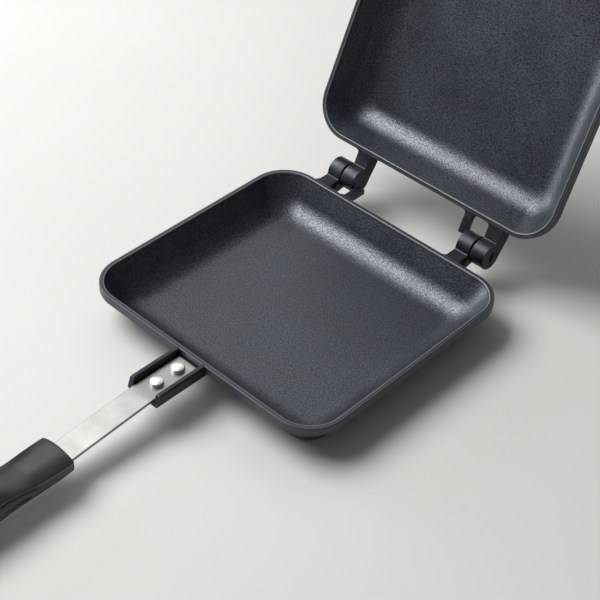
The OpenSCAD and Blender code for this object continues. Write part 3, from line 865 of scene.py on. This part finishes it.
def grip_shell():
    """The rings set side by side from the front end to the far one. The front face closes on the
    strap's slot: each point of the first ring goes straight towards the slot's middle until it
    meets the slot's edge, then back into it. The bend is highest on the two creases, where it
    lays a painted highlight line."""
    u = np.concatenate([
        FACE_IN + FACE_ROUND * (1 - np.cos(np.linspace(0, np.pi / 2, 8))),
        np.linspace(3.5, 108, 72),
        GRIP_LEN - NOSE + (NOSE - 0.25) * np.sin(np.linspace(0.25, np.pi / 2 - 0.02, 22))])
    ring, mid = grip_ring(u)
    x, z = ring[0].T, PAN_H + ring[1].T
    points = np.stack([x, np.broadcast_to((GRIP_Y - u)[:, None], x.shape), z], axis=-1)
    n = points.shape[1]
    slot_y = np.array([GRIP_Y, GRIP_Y - MOUTH_DEPTH])
    middle = np.stack([0 * slot_y, slot_y, strap_height(slot_y) - STRAP_T / 2], axis=1)
    way = points[0] - middle[0]
    reach = np.maximum(np.abs(way), 1e-9)
    size = np.minimum(MOUTH_HALF_W / reach[:, 0], MOUTH_HALF_H / reach[:, 2])
    mouth = middle[:, None] + way[None] * size[None, :, None]
    floor = np.broadcast_to(middle[1], (1, n, 3))
    back = np.broadcast_to([0, GRIP_Y - u[-1], PAN_H + mid[-1]], (1, n, 3))
    points = np.concatenate([floor, mouth[::-1], points, back])
    k = np.arange(n)
    # The creases' bend draws the painted highlight line of the phenolic.
    crease = 0.5 * (np.exp(-k ** 2) + np.exp(-(k - len(TOP_ANGLES) + 1) ** 2))
    return shell(points, grid_faces(len(points), n, wrap_cols=True), crease)


grip = grip_shell()
print("grip of", round(grip["volume"] / 1000, 1), "cubic centimetres")

# %% [markdown]
# ## Screw heads and the latch wire
# Each grip is held by one screw in a deep round well. The head is a low dome with a cross
# recess. Instead of carving the recess, the head is worked out on rings about its axis, and the
# recess is a dip wherever a point lies close to one of the two slots. The latch is a U of round
# wire with its ends turned in: a circle carried along a line in one plane. A curve with a bevel
# would look the same, but the export needs a closed mesh.

# %% A cross-recess screw
SCREW_Y, SCREW_Z, SCREW_CROWN = -184.5, 14.0, 2.6
RECESS_HALF_W, RECESS_LEN, RECESS_DEPTH = (0.38, 0.62), (1.7, 2.1), 1.25  # from floor to edge


def screw_shell():
    """Rings from the middle out. The height is a low dome, less a dip near the two crossed
    slots; then the edge, the shank and the tip."""
    dome = np.linspace(0, 2.6, 27)
    r = np.concatenate([dome, [2.9, 3.2, 3.4, 3.5, 3.5, 2.0, 2.0, 0]])
    z = np.concatenate([
        SCREW_CROWN - 0.035 * dome ** 2, [2.32, 2.15, 1.9, 1.6, 0, 0, -5.3, -5.6]])
    a = np.linspace(0, 2 * np.pi, 96, endpoint=False)
    x, y = r[:, None] * np.cos(a), r[:, None] * np.sin(a)
    near, far = np.minimum(np.abs(x), np.abs(y)), np.maximum(np.abs(x), np.abs(y))
    dip = (1 - ease(*RECESS_HALF_W, near)) * (1 - ease(*RECESS_LEN, far)) * RECESS_DEPTH
    on_dome = (np.arange(len(r)) <= len(dome))[:, None]
    points = np.stack([x, SCREW_Y + y, SCREW_Z + z[:, None] - dip * on_dome], axis=-1)
    return shell(points, grid_faces(len(r), len(a), wrap_cols=True))


screw = screw_shell()
print("screw of", round(screw["volume"]), "cubic mm")

# %% The latch wire
WIRE_R, WIRE_HALF, WIRE_LEN, WIRE_END = 1.25, 12.45, 29.05, 6
LOOP_R, TURN_IN_R = 4.0, 2.0
PIVOT_Y, PIVOT_Z = GRIP_Y - (GRIP_LEN - 9), PAN_H - 10


def wire_shell():
    """A circle of the wire's radius carried along the U; each ring stands square to the line,
    and a first and last ring of no size close the two ends."""
    line, _ = rounded(
        [(-WIRE_END, 0), (-WIRE_HALF, 0), (-WIRE_HALF, -WIRE_LEN), (WIRE_HALF, -WIRE_LEN),
         (WIRE_HALF, 0), (WIRE_END, 0)],
        [TURN_IN_R, LOOP_R, LOOP_R, TURN_IN_R], steps=12, fill=4)
    t = np.gradient(line, axis=0)
    t /= np.linalg.norm(t, axis=1)[:, None]
    n = np.stack([-t[:, 1], t[:, 0]], 1)
    a = np.linspace(0, 2 * np.pi, 20, endpoint=False)
    rad = np.concatenate([[0], np.full(len(line), WIRE_R), [0]])[:, None]
    line = np.concatenate([line[:1], line, line[-1:]])
    n = np.concatenate([n[:1], n, n[-1:]])
    x = line[:, 0:1] + n[:, 0:1] * rad * np.cos(a)
    z = line[:, 1:2] + n[:, 1:2] * rad * np.cos(a)
    points = np.stack([x, rad * np.sin(a), z], axis=-1)
    return shell(points, grid_faces(len(line), len(a), wrap_cols=True))


wire = wire_shell()
pivot = on_lid(np.array([0.0, PIVOT_Y, PIVOT_Z]))
wire["points"] = wire["points"] + pivot
print("latch pivot at", pivot.round(3))

# %% [markdown]
# ## Fitting the handles
# The grips are carved: the screw's well, two small holes for the wire's ends and a shallow
# groove underneath where the closed latch lies. Round holes across a shaped surface fit no grid
# of points, so here a Boolean is the better way.

# %% Handles on both halves
WELL_R, WELL_H = 3.9, 8.0
HOLE_R, HOLE_IN, HOLE_LEN = 1.3, 5.5, 12.0
GROOVE_R, GROOVE_Z, GROOVE_HALF = 1.55, 1.25, 20.0
wells = [
    peg((0, SCREW_Y, SCREW_Z), WELL_R, WELL_H),
    peg((HOLE_IN, PIVOT_Y, PIVOT_Z), HOLE_R, HOLE_LEN, axis=0, count=24),
    peg((-HOLE_IN - HOLE_LEN, PIVOT_Y, PIVOT_Z), HOLE_R, HOLE_LEN, axis=0, count=24),
    peg((-GROOVE_HALF, PIVOT_Y, GROOVE_Z), GROOVE_R, 2 * GROOVE_HALF, axis=0, count=24),
]
for side, lid in HALVES:
    body = f"{side}_half"
    carved = carve(make_mesh("grip", [grip], lid),
        [make_mesh(f"tool{k}", [well], lid) for k, well in enumerate(wells)])
    place(f"{side}_grip_moulding", carved, [phenolic], body, f"{side}_grip")
    place(f"{side}_strap_strip", make_mesh("strap", [strap], lid),
        [brushed], body, f"{side}_strap")
    place(f"{side}_rivet_pair", make_mesh("rivets", rivets, lid),
        [polished], body, f"{side}_strap_rivets")
    place(f"{side}_grip_screw_head", make_mesh("screw", [screw], lid),
        [zinc], body, f"{side}_grip_screw", crease=HARD_CREASE)

place("latch_wire_bail", make_mesh("wire", [wire]),
    [wire_skin], "latch", "latch_bail", crease=HARD_CREASE)

# %% [markdown]
# ## Hinge pins
# The two pins are hidden in their knuckles and their solids are already right, so they stay and
# only get a zinc finish that reads object space, as they carry no place of their own.

# %% Zinc on the pins
for name in ("lower_hinge_pin", "upper_hinge_pin"):
    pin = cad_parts[name]
    pin.data.materials.clear()
    pin.data.materials.append(pin_zinc)
print("pins take", pin_zinc.name)

# %% [markdown]
# ## Floor, light and camera
# The floor is a plain pale sweep, one sheet that curves up at the back so that no line shows
# behind the piece. A large soft key light at the front left gives the glow in the dishes' curved
# corners. A second one behind gives the straps and rivets their shine. A small one low at the
# left, like a window, draws the knuckles, and the pale surroundings keep the dark castings
# readable. The camera stands where the photograph's did.

# %% Stage
FLOOR_HALF_W, FLOOR_FRONT, FLOOR_BACK, FLOOR_TOP, SWEEP_R = 2.6, -1.6, 1.9, 2.2, 0.9  # metres
FLOOR_TURN = math.radians(42)


def stage_floor():
    """A level floor that curves up at the back: a straight run, a quarter circle and an upright
    run, carried across and turned to face the camera."""
    line, _ = rounded([(FLOOR_FRONT, 0), (FLOOR_BACK, 0), (FLOOR_BACK, FLOOR_TOP)], [SWEEP_R],
        steps=24)
    x, y, z = np.broadcast_arrays(
        np.array([[-FLOOR_HALF_W, FLOOR_HALF_W]]), line[:, 0:1], line[:, 1:2])
    c, s = math.cos(FLOOR_TURN), math.sin(FLOOR_TURN)
    points = np.stack([x * c - y * s, x * s + y * c, z], axis=-1).reshape(-1, 3)
    mesh = bpy.data.meshes.new("floor")
    mesh.from_pydata(points.tolist(), [], grid_faces(len(line), 2)[:, ::-1].tolist())
    mesh.shade_smooth()
    floor = bpy.data.objects.new("floor", mesh)
    bpy.context.scene.collection.objects.link(floor)
    material, tree, shader = new_material("pale painted floor", Roughness=0.7)
    place_in = add(tree, "ShaderNodeTexCoord").outputs["Object"]
    cloud = add(tree, "ShaderNodeTexNoise", {"Scale": 3.0, "Detail": 3.0}, {"Vector": place_in})
    shade = add(tree, "ShaderNodeValToRGB",
        {"stops": [(0.3, "#cdccc9"), (0.7, "#d3d2cf")]}, {"Fac": cloud.outputs["Fac"]})
    tree.links.new(shade.outputs["Color"], shader.inputs["Base Color"])
    mesh.materials.append(material)
    return floor


floor = stage_floor()
print("floor of", len(floor.data.polygons), "faces")

# %% Camera
AZIMUTH, ELEVATION, LEAN = math.radians(42.23), math.radians(41.10), math.radians(2.29)
TARGET, DISTANCE = Vector((7.9, -6.0, 20.0)) * MM, 698.4 * MM
FOCAL_PX, PICTURE_PX, SENSOR_MM = 1487.7, 600, 36.0  # the fitted camera, in the photograph's pixels


def camera():
    """The photograph's own viewpoint: bearing, height, distance and a slight lean."""
    back = Vector((
        math.sin(AZIMUTH) * math.cos(ELEVATION),
        -math.cos(AZIMUTH) * math.cos(ELEVATION),
        math.sin(ELEVATION)))
    right = (-back).cross(Vector((0, 0, 1))).normalized()
    up = right.cross(-back).normalized()
    c, s = math.cos(LEAN), math.sin(LEAN)
    right, up = right * c + up * s, up * c - right * s
    data = bpy.data.cameras.new("camera")
    data.sensor_width, data.lens = SENSOR_MM, FOCAL_PX / PICTURE_PX * SENSOR_MM
    data.clip_start, data.clip_end = 0.01, 20
    eye = bpy.data.objects.new("camera", data)
    bpy.context.scene.collection.objects.link(eye)
    turn = Matrix((right, up, back)).transposed()
    eye.matrix_world = Matrix.Translation(TARGET + back * DISTANCE) @ turn.to_4x4()
    bpy.context.scene.camera = eye
    return eye


eye = camera()
print("camera at", [round(v, 3) for v in eye.location], "lens", round(eye.data.lens, 1))

# %% Lights
def soft_light(name, at, towards, size, watts, tint="#ffffff"):
    """A rectangular light that faces a point."""
    data = bpy.data.lights.new(name, "AREA")
    data.shape, data.size, data.size_y = "RECTANGLE", size[0], size[1]
    data.energy, data.color = watts, colour(tint)[:3]
    light = bpy.data.objects.new(name, data)
    light.location = Vector(at)
    light.rotation_mode = "QUATERNION"
    light.rotation_quaternion = (Vector(towards) - Vector(at)).to_track_quat("-Z", "Y")
    bpy.context.scene.collection.objects.link(light)
    return light


PANS, LID = (0, 0.05, 0.05), (0, 0.05, 0.10)  # what the lights are aimed at, in metres
lights = [
    soft_light("key", (-0.80, -0.36, 1.15), PANS, (1.1, 0.85), 26),
    soft_light("back", (-0.75, 0.70, 1.05), PANS, (1.2, 0.9), 3.6),
    soft_light("window", (-1.30, -0.30, 0.30), LID, (0.5, 0.6), 7, "#f4f7ff"),
]
world = bpy.data.worlds.new("studio")
world.use_nodes = True
surround = world.node_tree.nodes["Background"].inputs
surround["Color"].default_value, surround["Strength"].default_value = colour("#d2d4d6"), 0.24
bpy.context.scene.world = world
bpy.context.scene.view_settings.view_transform = "Standard"
print("lights", [light.name for light in lights])
